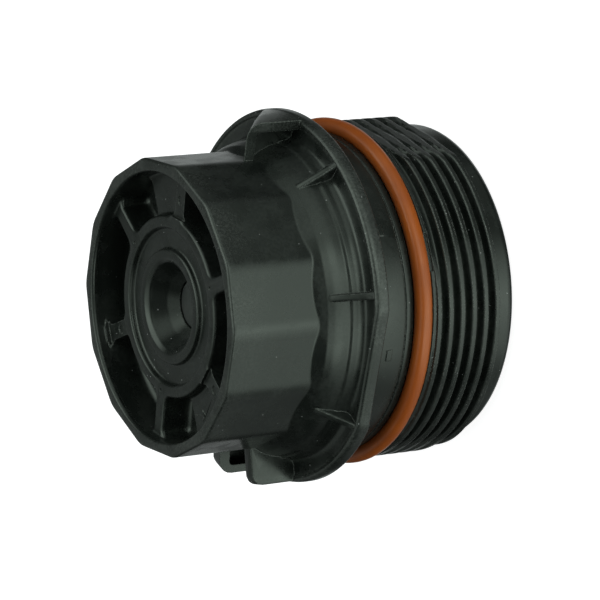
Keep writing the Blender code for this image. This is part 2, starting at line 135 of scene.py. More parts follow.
def angle_apart(a, b):
    return abs((a - b + 180.0) % 360.0 - 180.0)


def rounded(points, radius, steps=4):
    """The same open outline with each inner corner replaced by a short arc."""
    result = [points[0]]
    for before, corner, after in zip(points, points[1:], points[2:]):
        a = Vector(before[:2]) - Vector(corner[:2])
        b = Vector(after[:2]) - Vector(corner[:2])
        reach = min(radius, a.length * 0.45, b.length * 0.45)
        start = Vector(corner[:2]) + a.normalized() * reach
        end = Vector(corner[:2]) + b.normalized() * reach
        for step in range(steps + 1):
            t = step / steps
            middle = Vector(corner[:2])
            point = start * (1 - t) ** 2 + middle * 2 * t * (1 - t) + end * t * t
            result.append((point.x, point.y))
    result.append(points[-1])
    return result


def mesh_object(name, bm, body, crease=34.0):
    bmesh.ops.recalc_face_normals(bm, faces=bm.faces)
    mesh = bpy.data.meshes.new(name)
    bm.to_mesh(mesh)
    bm.free()
    obj = bpy.data.objects.new(name, mesh)
    bpy.context.scene.collection.objects.link(obj)
    smooth(obj, crease)
    if body:
        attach(obj, body)
    return obj


def smooth(obj, crease):
    for face in obj.data.polygons:
        face.use_smooth = True
    obj.data.set_sharp_from_angle(angle=math.radians(crease))


def ring_mesh(bm, outline, steps):
    """Turn a closed (radius, depth) outline about the axis."""
    columns = []
    for step in range(steps):
        azimuth = 360.0 * step / steps
        columns.append([bm.verts.new(at(r, azimuth, d)) for r, d in outline])
    count = len(outline)
    for i in range(steps):
        here, there = columns[i], columns[(i + 1) % steps]
        for j in range(count):
            k = (j + 1) % count
            bm.faces.new((here[j], here[k], there[k], there[j]))


def solid_of_turn(name, outline, steps, body, crease=34.0):
    """Turn an outline that starts and ends on the axis, then close its two tips."""
    bm = bmesh.new()
    rim = outline[1:-1]
    columns = []
    for step in range(steps):
        columns.append([bm.verts.new(at(r, 360.0 * step / steps, d)) for r, d in rim])
    top = bm.verts.new(at(0.0, 0.0, outline[0][1]))
    foot = bm.verts.new(at(0.0, 0.0, outline[-1][1]))
    for i in range(steps):
        here, there = columns[i], columns[(i + 1) % steps]
        bm.faces.new((top, here[0], there[0]))
        bm.faces.new((foot, there[-1], here[-1]))
        for j in range(len(rim) - 1):
            bm.faces.new((here[j], here[j + 1], there[j + 1], there[j]))
    return mesh_object(name, bm, body, crease)


# ---- the cap's turned and fluted shell ----

# (depth, radius) of the flare behind the flutes
FLARE = [(18.0, 29.0), (19.0, 31.1), (20.1, 32.0), (21.35, 32.85), (22.5, 33.7), (23.8, 34.3),
         (24.4, 34.55)]


def fluted_radius(azimuth):
    """Distance from the axis to the fourteen-sided wall, with softly rounded corners."""
    along = (azimuth - FLUTE_START) % FLUTE_ANGLE
    first = APOTHEM / math.cos(math.radians(along - FLUTE_ANGLE / 2))
    side = -1.0 if along > FLUTE_ANGLE / 2 else 1.0
    second = APOTHEM / math.cos(math.radians(along + side * FLUTE_ANGLE - FLUTE_ANGLE / 2))
    return soft_min(first, second, CORNER_SOFTNESS)


def edge_radius(azimuth):
    """Distance from the axis to the flange's edge, with its two flats."""
    radius = FLANGE_RADIUS
    for flat in FLAT_AZIMUTHS:
        apart = angle_apart(azimuth, flat)
        if apart < 60.0:
            radius = soft_min(radius, FLAT_DISTANCE / math.cos(math.radians(apart)), 0.25)
    return radius


def wall_point(inset):
    """A point on the fluted wall; inset rounds the rim."""
    def place(azimuth, depth):
        wall = fluted_radius(azimuth) - inset
        return soft_max(wall, look_up(FLARE, depth), 0.18)
    return place


def flange_point(radius):
    def place(azimuth, depth):
        cut_back = FLANGE_RADIUS - edge_radius(azimuth)
        return radius - cut_back * smooth_step(37.4, 39.9, radius)
    return place


def plain_point(radius):
    def place(azimuth, depth):
        return radius
    return place


def upper_rows():
    """Rows from the drain port over the boss, the socket and the flange to the start of the thread."""
    rows = []
    port = [(5.6, 8.95), (7.45, 6.85), (7.75, 6.4), (9.3, 4.0), (9.6, 3.45), (10.35, 2.95), (10.7, 2.8)]
    ring = [(12.2, 2.8), (12.6, 3.0), (12.75, 3.85), (13.1, 4.0)]
    recess = [(16.75, 4.0), (17.1, 3.8), (17.25, 3.0), (17.55, BOSS_FACE)]
    bore = [(SOCKET_BORE, BOSS_FACE), (SOCKET_BORE, 0.55), (29.9, 0.0), (30.3, 0.0)]
    outline = rounded(port + ring + recess + bore, 0.6, 3)
    rows += [(plain_point(r), d) for r, d in outline]
    for inset, depth in ((0.75, 0.0), (0.4, 0.07), (0.16, 0.22), (0.03, 0.45), (0.0, 0.75)):
        rows.append((wall_point(inset), depth))
    depth = 2.0
    while depth < 24.3:
        rows.append((wall_point(0.0), depth))
        depth += 2.0 if depth < 16.0 else 0.2
    neck = [(34.6, 24.6), (34.85, 25.4), (35.05, 26.4), (35.2, 27.3), (35.6, 27.7), (35.8, 29.2)]
    neck += [(36.4, 30.3), (37.4, FLANGE_FACE), (39.8, FLANGE_FACE)]
    lip = [(40.1, 30.2), (40.55, 30.12), (41.1, 30.5), (FLANGE_RADIUS, 31.3), (FLANGE_RADIUS, 33.0)]
    lip += [(41.05, FLANGE_BACK)]
    back = [(36.7, FLANGE_BACK), (35.95, 33.8), (CORE_RADIUS, 34.8)]
    rows += [(flange_point(r), d) for r, d in rounded(neck + lip + back, 0.45, 3)]
    rear = [(CORE_RADIUS, 35.5), (CORE_RADIUS, 40.95), (35.4, 41.05), (35.4, 41.2), (CORE_RADIUS, 41.3)]
    gland = [(CORE_RADIUS, GLAND_TOP), (34.4, GLAND_TOP), (34.4, GLAND_BOTTOM), (37.2, GLAND_BOTTOM)]
    gland += [(37.2, THREAD_BAND[0])]
    rows += [(plain_point(r), d) for r, d in rounded(rear + gland, 0.2, 3)]
    return rows


def lower_rows():
    """Rows from the end of the thread round the open rim and back up the inside to the port."""
    rim = [(CORE_RADIUS, THREAD_BAND[1]), (35.6, 68.2), (35.15, 69.0), (34.9, LENGTH)]
    rim += [(32.5, LENGTH), (CHAMBER_RADIUS, LENGTH - 0.4)]
    chamber = [(CHAMBER_RADIUS, 26.8), (29.2, 23.4), (29.2, 13.6), (28.2, 12.6), (11.9, 12.6)]
    collar = [(COLLAR_RADIUS, 13.0), (COLLAR_RADIUS, 27.6), (11.1, 28.0), (8.9, 28.0), (8.6, 27.7)]
    seat = [(8.6, 10.4), (5.6, 10.4)]
    return [(plain_point(r), d) for r, d in rounded(rim + chamber + collar + seat, 0.25, 2)]


def thread_root(depth):
    return look_up([(47.9, 37.2), (48.15, 36.9), (48.8, CORE_RADIUS)], depth)


# (distance from the crest along the axis, share of the thread's full height)
RIDGE = [(0.0, 1.0), (0.42, 1.0), (0.54, 0.94), (0.68, 0.74), (0.90, 0.30), (1.02, 0.10), (1.14, 0.02),
         (1.3, 0.0)]


def thread_height(azimuth, depth):
    """Height of the helical ridge above its root, as a share of the full height."""
    turn_depth = THREAD_DEPTH_AT_ZERO - THREAD_PITCH * azimuth / 360.0
    turn = round((depth - turn_depth) / THREAD_PITCH)
    crest = turn_depth + turn * THREAD_PITCH
    shape = look_up(RIDGE, abs(depth - crest))
    fade = smooth_step(THREAD_FIRST - 0.15, THREAD_FIRST + 0.2, crest)
    fade *= 1.0 - smooth_step(THREAD_LAST - 0.25, THREAD_LAST + 0.1, crest)
    return shape * fade


def flat_limit(azimuth):
    """Distance from the axis to the flats that interrupt the thread."""
    limit = THREAD_RADIUS + 1.0
    for flat in THREAD_FLAT_AZIMUTHS:
        apart = angle_apart(azimuth, flat)
        if apart < 40.0:
            limit = min(limit, THREAD_FLAT / math.cos(math.radians(apart)))
    return limit


def thread_rows():
    """(turn, offset from the crest) for rows that follow the helix, so that crest edges stay clean."""
    after_crest = [0.15] + [distance for distance, _ in RIDGE[1:]]
    offsets = [-offset for offset in reversed(after_crest)] + after_crest
    turns = range(-2, 8)
    return [(turn, offset) for turn in turns for offset in offsets]


def shell_column(azimuth, upper, helix, lower):
    """Every point of the cap's section at one azimuth."""
    points = [at(place(azimuth, depth), azimuth, depth) for place, depth in upper]
    first, last = THREAD_BAND
    for turn, offset in helix:
        depth = THREAD_DEPTH_AT_ZERO + THREAD_PITCH * (turn - azimuth / 360.0) + offset
        depth = min(last, max(first, depth))
        root = thread_root(depth)
        radius = root
        if first < depth < last:
            ridge = CORE_RADIUS + (THREAD_RADIUS - CORE_RADIUS) * thread_height(azimuth, depth)
            radius = max(root, min(ridge, flat_limit(azimuth)))
        points.append(at(radius, azimuth, depth))
    points += [at(place(azimuth, depth), azimuth, depth) for place, depth in lower]
    return points


def cap_shell():
    upper, helix, lower = upper_rows(), thread_rows(), lower_rows()
    columns = FLUTES * COLUMNS_PER_FLUTE
    bm = bmesh.new()
    grid = []
    for column in range(columns + 1):
        azimuth = FLUTE_START + 360.0 * column / columns
        grid.append([bm.verts.new(p) for p in shell_column(azimuth, upper, helix, lower)])
    count = len(grid[0])
    for here, there in zip(grid, grid[1:]):
        for j in range(count):
            k = (j + 1) % count
            bm.faces.new((here[j], here[k], there[k], there[j]))
    bmesh.ops.remove_doubles(bm, verts=bm.verts, dist=1e-7)
    bmesh.ops.dissolve_degenerate(bm, edges=bm.edges, dist=1e-8)
    return mesh_object("cap_shell", bm, "cap", 40.0)


# ---- ribs, lugs and webs, each a rounded block joined to the shell ----

def bevelled(bm, width, segments=3):
    bmesh.ops.recalc_face_normals(bm, faces=bm.faces)
    edges = [e for e in bm.edges if e.calc_face_angle(0.0) > math.radians(25)]
    bmesh.ops.bevel(bm, geom=edges, offset=width * MM, segments=segments, affect="EDGES", profile=0.5,
                    clamp_overlap=True)


def bar(azimuth, inner, outer, width, top, bottom):
    """Square-edged radial bar."""
    bm = bmesh.new()
    size = Matrix.Diagonal(((outer - inner) * MM, width * MM, (bottom - top) * MM, 1.0))
    place = Matrix.Translation(((inner + outer) / 2 * MM, 0.0, height((top + bottom) / 2)))
    turn = Matrix.Rotation(math.radians(azimuth), 4, "Z")
    bmesh.ops.create_cube(bm, size=1.0, matrix=turn @ place @ size)
    return bm


def sector(inner, outer, bottom, tops, steps, round_off):
    """Block bent round the axis; tops is a list of (azimuth, depth)."""
    bm = bmesh.new()
    first, last = tops[0][0], tops[-1][0]
    stops = sorted({first + (last - first) * i / steps for i in range(steps + 1)} | {a for a, _ in tops})
    rings = []
    for azimuth in stops:
        top = look_up(tops, azimuth)
        corners = [(inner, bottom), (outer, bottom), (outer, top), (inner, top)]
        rings.append([bm.verts.new(at(r, azimuth, d)) for r, d in corners])
    for here, there in zip(rings, rings[1:]):
        for j in range(4):
            k = (j + 1) % 4
            bm.faces.new((here[j], here[k], there[k], there[j]))
    bm.faces.new(rings[0])
    bm.faces.new(rings[-1])
    if round_off:
        bevelled(bm, round_off)
    return bm


def plate(azimuth, outline, thickness, round_off):
    """Upright plate in a radial plane."""
    bm = bmesh.new()
    turn = Matrix.Rotation(math.radians(azimuth), 4, "Z")
    sides = []
    for offset in (-thickness / 2, thickness / 2):
        sides.append([bm.verts.new(turn @ Vector((r * MM, offset * MM, height(d)))) for r, d in outline])
    bm.faces.new(sides[0])
    bm.faces.new(sides[1])
    for j in range(len(outline)):
        k = (j + 1) % len(outline)
        bm.faces.new((sides[0][j], sides[0][k], sides[1][k], sides[1][j]))
    bevelled(bm, round_off, 2)
    return bm


def peg(radius, azimuth, size, top, bottom, sides=24):
    bm = bmesh.new()
    place = Matrix.Translation(at(radius, azimuth, (top + bottom) / 2))
    bmesh.ops.create_cone(bm, cap_ends=True, segments=sides, radius1=size * MM, radius2=size * MM,
                          depth=(bottom - top) * MM, matrix=place)
    return bm


def join(target, bm, operation="UNION"):
    """Merge one block into the cap, or cut it out."""
    tool = mesh_object("tool", bm, None)
    modifier = target.modifiers.new("shape", "BOOLEAN")
    modifier.operation = operation
    modifier.object = tool
    modifier.solver = "MANIFOLD"
    depsgraph = bpy.context.evaluated_depsgraph_get()
    shaped = bpy.data.meshes.new_from_object(target.evaluated_get(depsgraph))
    target.modifiers.clear()
    old = target.data
    target.data = shaped
    bpy.data.meshes.remove(old)
    bpy.data.objects.remove(tool)


def lug_block(inner, outer, bottom, stops, corner):
    """Block bent round the axis with a rounded outer top edge; stops are (azimuth, top depth)."""
    bm = bmesh.new()
    rings = []
    for azimuth, top in stops:
        reach = min(corner, (bottom - top) * 0.45)
        section = [(inner, bottom), (outer, bottom), (outer, top + reach)]
        section += [(outer - reach * (1 - math.cos(t)), top + reach * (1 - math.sin(t)))
                    for t in (math.radians(a) for a in (18, 36, 54, 72))]
        section += [(outer - reach, top), (inner, top)]
        rings.append([bm.verts.new(at(r, azimuth, d)) for r, d in section])
    count = len(rings[0])
    for here, there in zip(rings, rings[1:]):
        for j in range(count):
            k = (j + 1) % count
            bm.faces.new((here[j], here[k], there[k], there[j]))
    bm.faces.new(rings[0])
    bm.faces.new(rings[-1])
    return bm


def pocketed_lug(start, end, ramp_end, outer, start_top, end_top):
    """Lug hollowed from its start side. Its top falls to end_top, then ramps down to the flange."""
    base = FLANGE_FACE + 0.9
    stops = []
    for step in range(7):
        along = step / 6
        stops.append((start + (end - start) * along, start_top + (end_top - start_top) * along))
    for step in range(1, 13):
        along = step / 12
        stops.append((end + (ramp_end - end) * along, end_top + (base - end_top - 0.3) * along ** 1.15))
    lug = mesh_object("lug", lug_block(31.0, outer, base, stops, 3.4), None)
    toward = 1.0 if end > start else -1.0
    roof = start_top + 2.6
    hollow = sorted([(start - 3.0 * toward, roof), (start + 4.6 * toward, roof)])
    join(lug, sector(30.0, 39.0, FLANGE_FACE + 1.5, hollow, 4, 1.7), "DIFFERENCE")
    return lug


def add_object(cap, obj):
    """Merge a finished block object into the cap."""
    bm = bmesh.new()
    bm.from_mesh(obj.data)
    bpy.data.objects.remove(obj)
    join(cap, bm)


def rounded_rectangle(width, length, corner, inset, along=14, across=6, per_corner=6):
    """Points round a rectangle with rounded corners, all moved inwards by inset."""
    radius = max(corner - inset, 0.15)
    low_x, high_x, low_y, high_y = inset, width - inset, inset, length - inset
    left, right = low_x + radius, high_x - radius
    near, far = low_y + radius, high_y - radius
    centres = [(right, near, -90, across), (right, far, 0, along), (left, far, 90, across),
               (left, near, 180, along)]
    corners = []
    for cx, cy, first, _ in centres:
        corners.append([(cx + radius * math.cos(math.radians(first + 90.0 * step / per_corner)),
                         cy + radius * math.sin(math.radians(first + 90.0 * step / per_corner)))
                        for step in range(per_corner + 1)])
    points = []
    for index, corner_points in enumerate(corners):
        points += corner_points
        (x0, y0), (x1, y1) = corner_points[-1], corners[(index + 1) % 4][0]
        pieces = centres[index][3]
        points += [(x0 + (x1 - x0) * i / pieces, y0 + (y1 - y0) * i / pieces) for i in range(1, pieces)]
    return points


def pocket(bm, first_rib, last_rib, floor, fillet, slope_start=None):
    """Cutter for one pocket between two ribs, each given as (azimuth, half width)."""
    inner, outer = 20.05, SOCKET_BORE + 0.03
    middle = (inner + outer) / 2
    levels = [(-0.7, 1.2), (-0.7, 2.69), (-0.45, 2.75), (-0.2, 2.93), (-0.05, 3.2), (0.0, 3.5)]
    levels += [(0.0, floor - fillet)]
    levels += [(fillet * (1 - math.cos(t)), floor - fillet * (1 - math.sin(t)))
               for t in (math.radians(a) for a in (20, 40, 60, 75, 90))]
    loops = []
    for inset, depth in levels:
        start = first_rib[0]
        if slope_start is not None:
            start = slope_start[0] + (slope_start[1] - slope_start[0]) * smooth_step(4.4, floor, depth)
        width = math.radians(last_rib[0] - start) * middle - first_rib[1] - last_rib[1]
        steps = rounded_rectangle(width, outer - inner, 2.0, min(inset, fillet))
        loop = []
        for x, y in steps:
            radius = min(inner + y, outer)
            low = start + math.degrees(math.asin(first_rib[1] / radius))
            high = last_rib[0] - math.degrees(math.asin(last_rib[1] / radius))
            loop.append(bm.verts.new(at(radius, low + (high - low) * x / width, depth)))
        loops.append(loop)
    count = len(loops[0])
    for here, there in zip(loops, loops[1:]):
        for j in range(count):
            k = (j + 1) % count
            bm.faces.new((here[j], here[k], there[k], there[j]))
    bm.faces.new(loops[0])
    bm.faces.new(loops[-1])


def blocks(*builders):
    """One bmesh holding several separate blocks."""
    together = bmesh.new()
    for bm in builders:
        mesh = bpy.data.meshes.new("block")
        bm.to_mesh(mesh)
        bm.free()
        together.from_mesh(mesh)
        bpy.data.meshes.remove(mesh)
    return together


def arrow():
    """Raised arrow on the lower shelf, pointing to +X."""
    strokes = bmesh.new()
    tail = Matrix.Translation(Vector((6.9, -23.7, 0)) * MM)
    shaft, upper_barb, lower_barb = (0.0, 0.0, 4.2), (1.55, 38.0, 2.0), (1.55, -38.0, 2.0)
    width, thickness = 0.32, 0.3
    for along, turn, length in (shaft, upper_barb, lower_barb):
        aside = 0.0 if turn == 0.0 else math.copysign(0.55, -turn)
        place = Matrix.Translation(Vector((along, aside, (LENGTH - SHELF_DEPTH + 0.02))) * MM)
        swing = Matrix.Rotation(math.radians(turn), 4, "Z")
        size = Matrix.Diagonal((length * MM, width * MM, thickness * MM, 1.0))
        bmesh.ops.create_cube(strokes, size=1.0, matrix=tail @ place @ swing @ size)
    return strokes


def sloped_pit(last_rib):
    """Cutter for the part of a pocket that falls away beside a shelf, with one slanting side."""
    pit = bmesh.new()
    pocket(pit, (103.0, 0.2), last_rib, POCKET_DEPTH, POCKET_FILLET, (101.5, 109.0))
    return pit


def add_socket_pockets(cap):
    ribs = [(12.0, WIDE_RIB_HALF), (72.0, NARROW_RIB_HALF), (132.0, WIDE_RIB_HALF),
            (192.0, NARROW_RIB_HALF), (252.0, WIDE_RIB_HALF), (312.0, NARROW_RIB_HALF),
            (372.0, WIDE_RIB_HALF)]
    shelf_places = (1, 4)
    deep = bmesh.new()
    shelves = bmesh.new()
    for index, (first, last) in enumerate(zip(ribs, ribs[1:])):
        if index in shelf_places:
            pocket(shelves, first, last, SHELF_DEPTH, SHELF_FILLET)
        else:
            pocket(deep, first, last, POCKET_DEPTH, POCKET_FILLET)
    join(cap, deep, "DIFFERENCE")
    join(cap, shelves, "DIFFERENCE")
    mirror_azimuth = 192.0
    mirrored = sloped_pit(ribs[2])
    turn = Matrix.Rotation(math.radians(2.0 * mirror_azimuth), 4, "Z")
    flip = turn @ Matrix.Diagonal((1.0, -1.0, 1.0, 1.0))
    bmesh.ops.transform(mirrored, matrix=flip, verts=mirrored.verts)
    join(cap, blocks(sloped_pit(ribs[2]), mirrored), "DIFFERENCE")
    lowered = [bar(azimuth, 20.1, 29.3, 5.2, 1.0, 3.6) for azimuth in NARROW_RIB_AZIMUTHS]
    join(cap, blocks(*lowered), "DIFFERENCE")
    marks = [peg(19.2, azimuth, 0.42, 2.0, 2.95, 16) for azimuth in WIDE_RIB_AZIMUTHS]
    marks += [ring_groove(24.1, azimuth) for azimuth in NARROW_RIB_AZIMUTHS]
    join(cap, blocks(*marks), "DIFFERENCE")
    join(cap, arrow())


def ring_groove(radius, azimuth):
    """Shallow round ejector-pin mark."""
    return peg(radius, azimuth, 1.05, 3.0, 3.8)


def add_flange_features(cap):
    web_azimuths = (0.0, 45.0, -45.0, 135.0, 180.0, 225.0)
    web = [(33.0, 31.3), (33.0, 22.3), (34.3, 23.2), (40.3, 30.35), (40.3, 31.3)]
    join(cap, blocks(*[plate(azimuth, web, 1.6, 0.5) for azimuth in web_azimuths]))
    add_object(cap, pocketed_lug(68.0, 74.4, 91.0, 41.2, 17.2, 20.8))
    add_object(cap, pocketed_lug(-108.0, -114.4, -131.0, 40.9, 19.4, 20.2))
    corner = [(38.9, 19.9), (40.1, 20.4), (40.8, 21.4), (41.0, 22.6)]
    join(cap, plate(-90.0, [(31.5, 31.4), (31.5, 19.9)] + corner + [(41.0, 31.4)], 3.0, 0.35))
    pads = [sector(35.0, 35.95, 38.0, [(azimuth - 2.0, 36.7), (azimuth + 2.0, 36.7)], 3, 0.0)
            for azimuth in (-22.0, 22.0)]
    join(cap, blocks(*pads))
    join(cap, sector(36.8, 38.6, 47.75, [(6.0, 46.2), (19.0, 46.2)], 6, 0.0), "DIFFERENCE")


def visible_cap():
    cap = cap_shell()
    add_socket_pockets(cap)
    add_flange_features(cap)
    smooth(cap, 40.0)
    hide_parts("cap_body")
    return cap


# ---- seal ring and drain valve ----

def visible_seal():
    centre_depth = LENGTH - (SEAL_LOW.z + SEAL_HIGH.z) / 2 / MM
    wire = (SEAL_HIGH.z - SEAL_LOW.z) / 2 / MM
    ring_radius = SEAL_HIGH.x / MM - wire
    sides = 28
    outline = []
    for side in range(sides):
        angle = math.tau * side / sides
        outline.append((ring_radius + wire * math.cos(angle), centre_depth + wire * math.sin(angle)))
    bm = bmesh.new()
    ring_mesh(bm, outline, 224)
    seal = mesh_object("seal_ring", bm, "cap", 80.0)
    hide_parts("main_seal_ring")
    return seal


def visible_drain_valve():
    face = [(0.0, 9.15), (5.1, 9.15), (5.34, 9.25), (5.42, 9.45), (5.42, 10.2), (5.0, 10.4), (5.0, 12.9)]
    head = [(7.3, 12.9), (7.6, 13.2), (7.6, 14.4), (7.3, 14.8), (3.9, 14.8), (3.9, 16.6)]
    stem = [(2.1, 17.2), (2.1, 28.0), (1.8, 28.4), (0.0, 28.4)]
    valve = solid_of_turn("drain_poppet", face + head + stem, 96, "drain_valve")
    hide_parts("drain_valve")
    return valve


# ---- springs ----

def coil_height(share, turns):
    """Share of the spring's rise at a share of its length; the end turns lie closer together."""
    end_turn = 0.8 / turns
    slow = 0.45
    middle_rate = (1.0 - 2.0 * end_turn * slow) / (1.0 - 2.0 * end_turn)
    if share < end_turn:
        return share * slow
    if share > 1.0 - end_turn:
        return 1.0 - (1.0 - share) * slow
    return end_turn * slow + (share - end_turn) * middle_rate


def spring(name, node, slot, mean_radius, wire, top, bottom, turns):
    """Compression spring of round wire, from its fixed end at the bottom to the valve."""
    bm = bmesh.new()
    per_turn, sides = 40, 12
    low, high = bottom - wire / 2, top + wire / 2
    steps = int(turns * per_turn)
    rings = []
    for step in range(steps + 1):
        share = step / steps
        middle = low + (high - low) * coil_height(share, turns)
        azimuth = 360.0 * turns * share
        ring = []
        for side in range(sides):
            angle = math.tau * side / sides
            across = mean_radius + wire / 2 * math.cos(angle)
            ring.append(bm.verts.new(at(across, azimuth, middle + wire / 2 * math.sin(angle))))
        rings.append(ring)
    for here, there in zip(rings, rings[1:]):
        for j in range(sides):
            k = (j + 1) % sides
            bm.faces.new((here[j], here[k], there[k], there[j]))
    bm.faces.new(rings[0])
    bm.faces.new(rings[-1])
    obj = mesh_object(name, bm, "cap", 50.0)
    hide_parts(node)
    return obj


def shorten(obj):
    """Gives the spring its own copy of its mesh."""
    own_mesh(obj)


def visible_springs():
    """Both springs, each with its own steel."""
    drain = spring("drain_spring_coil", "drain_valve_spring", "drain_spring_wire", **DRAIN_SPRING)
    dress(drain, metal("drain_spring_steel", (0.55, 0.56, 0.58), 0.3))
    shorten(drain)
    bypass = spring("bypass_spring_coil", "bypass_spring", "bypass_spring_wire", **BYPASS_SPRING)
    dress(bypass, metal("bypass_spring_steel", (0.5, 0.5, 0.52), 0.35))
    shorten(bypass)


# ---- materials ----

def new_material(name):
    mat = bpy.data.materials.new(name)
    mat.use_nodes = True
    nodes = mat.node_tree.nodes
    shader = nodes["Principled BSDF"]
    return mat, nodes, mat.node_tree.links, shader


def noise(nodes, links, source, scale, detail=3.0, roughness=0.55):
    texture = nodes.new("ShaderNodeTexNoise")
    texture.inputs["Scale"].default_value = scale
    texture.inputs["Detail"].default_value = detail
    texture.inputs["Roughness"].default_value = roughness
    links.new(source, texture.inputs["Vector"])
    return texture.outputs["Fac"]


def ranged(nodes, links, value, low, high, out_low, out_high):
    node = nodes.new("ShaderNodeMapRange")
    node.interpolation_type = "SMOOTHSTEP"
    node.inputs["From Min"].default_value = low
    node.inputs["From Max"].default_value = high
    node.inputs["To Min"].default_value = out_low
    node.inputs["To Max"].default_value = out_high
    links.new(value, node.inputs["Value"])
    return node.outputs["Result"]


def mixed(nodes, links, factor, first, second):
    node = nodes.new("ShaderNodeMix")
    node.data_type = "RGBA"
    node.inputs[6].default_value = (*first, 1.0) if isinstance(first, tuple) else (0, 0, 0, 1)
    node.inputs[7].default_value = (*second, 1.0)
    if not isinstance(first, tuple):
        links.new(first, node.inputs[6])
    links.new(factor, node.inputs[0])
    return node.outputs[2]


def maths(nodes, links, operation, first, second):
    node = nodes.new("ShaderNodeMath")
    node.operation = operation
    for slot, value in enumerate((first, second)):
        if isinstance(value, (int, float)):
            node.inputs[slot].default_value = value
        else:
            links.new(value, node.inputs[slot])
    return node.outputs[0]


def edge_wear_and_highlight(nodes, links, bevel, coords):
    """Mask of pale edges, partly scuffs and partly a painted highlight: where the rounded normal leaves
    the surface's own, broken up by noise.
    """
    own = nodes.new("ShaderNodeNewGeometry").outputs["Normal"]
    dot = nodes.new("ShaderNodeVectorMath")
    dot.operation = "DOT_PRODUCT"
    links.new(bevel, dot.inputs[0])
    links.new(own, dot.inputs[1])
    edge = ranged(nodes, links, dot.outputs["Value"], 0.998, 0.95, 0.0, 1.0)
    grit = ranged(nodes, links, noise(nodes, links, coords, 2400.0, 3.0, 0.7), 0.42, 0.62, 0.0, 1.0)
    patch = ranged(nodes, links, noise(nodes, links, coords, 160.0, 2.0), 0.4, 0.62, 0.25, 1.0)
    return maths(nodes, links, "MULTIPLY", maths(nodes, links, "MULTIPLY", edge, grit), patch)


def rubbed_faces_and_flange_highlight(nodes, links, coords):
    """Mask of the socket rim, which hands and wrenches rub, and of the flange edge, painted paler as a
    highlight with some rubbing; broken up by noise.
    """
    parts = nodes.new("ShaderNodeSeparateXYZ")
    links.new(coords, parts.inputs[0])
    flat = nodes.new("ShaderNodeCombineXYZ")
    links.new(parts.outputs["X"], flat.inputs["X"])
    links.new(parts.outputs["Y"], flat.inputs["Y"])
    reach = nodes.new("ShaderNodeVectorMath")
    reach.operation = "LENGTH"
    links.new(flat.outputs[0], reach.inputs[0])
    rim = ranged(nodes, links, parts.outputs["Z"], (LENGTH - 0.5) * MM, (LENGTH - 0.1) * MM, 0.0, 0.55)
    # flange edge: painted highlight, with some rubbing
    edge = ranged(nodes, links, reach.outputs["Value"], 38.8 * MM, 39.6 * MM, 0.0, 0.7)
    wall = ranged(nodes, links, reach.outputs["Value"], 29.8 * MM, 30.3 * MM, 0.0, 1.0)
    fade_start, fade_end = (LENGTH - 13.0) * MM, (LENGTH - 1.5) * MM
    near_rim = ranged(nodes, links, parts.outputs["Z"], fade_start, fade_end, 0.0, 0.42)
    rim = maths(nodes, links, "MAXIMUM", rim, maths(nodes, links, "MULTIPLY", wall, near_rim))
    either = maths(nodes, links, "MAXIMUM", rim, edge)
    grit = ranged(nodes, links, noise(nodes, links, coords, 1900.0, 3.0, 0.7), 0.42, 0.66, 0.25, 1.0)
    patch = ranged(nodes, links, noise(nodes, links, coords, 90.0, 2.0), 0.36, 0.62, 0.35, 1.0)
    return maths(nodes, links, "MULTIPLY", maths(nodes, links, "MULTIPLY", either, grit), patch)


def dust_specks(nodes, links, coords, amount):
    """Mask of a few pale specks about a fifth of a millimetre across."""
    specks = nodes.new("ShaderNodeTexVoronoi")
    specks.inputs["Scale"].default_value = 700.0
    links.new(coords, specks.inputs["Vector"])
    parts = nodes.new("ShaderNodeSeparateColor")
    links.new(specks.outputs["Color"], parts.inputs[0])
    close = ranged(nodes, links, specks.outputs["Distance"], 0.06, 0.11, 1.0, 0.0)
    chosen = ranged(nodes, links, parts.outputs["Red"], 0.86, 0.88, 0.0, amount)
    return maths(nodes, links, "MULTIPLY", close, chosen)


